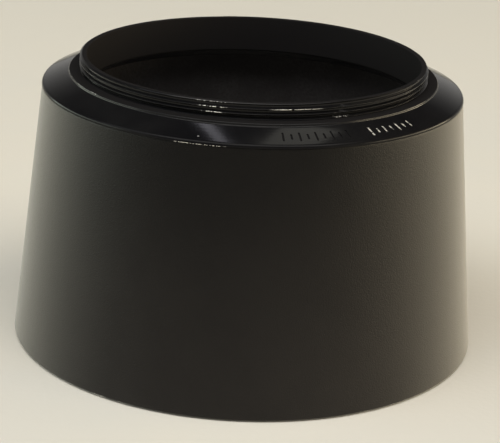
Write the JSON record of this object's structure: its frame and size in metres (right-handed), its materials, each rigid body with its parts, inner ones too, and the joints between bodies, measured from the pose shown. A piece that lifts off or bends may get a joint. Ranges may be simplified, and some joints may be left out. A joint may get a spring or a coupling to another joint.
{
  "type": "lens hood",
  "caption": "Round screw-in metal lens hood: a flared satin-black shade under a gloss-black mount ring with a male filter thread.",
  "frame": {"origin": "on the optical axis, in the plane of the front rim that the hood stands on", "axes": "+Z along the optical axis, from the front rim towards the thread and the camera; +Y away from the viewer of the engraved marks, +X to their right"},
  "size_m": [0.0708, 0.0708, 0.0434],
  "materials": {
    "gloss_black": "gloss black enamel over turned aluminium, worn to bright metal along its sharp edges",
    "satin_black": "fine-grained satin black paint over spun aluminium",
    "anodised_black": "matte black anodised",
    "flock": "dead-black flock",
    "white_fill": "worn off-white paint filling engraved index marks"
  },
  "bodies": {
    "root": {"mount_ring": "gloss_black", "hood_shell": "satin_black", "retaining_ring": "anodised_black", "flock_lining": "flock"}
  },
  "joints": []
}
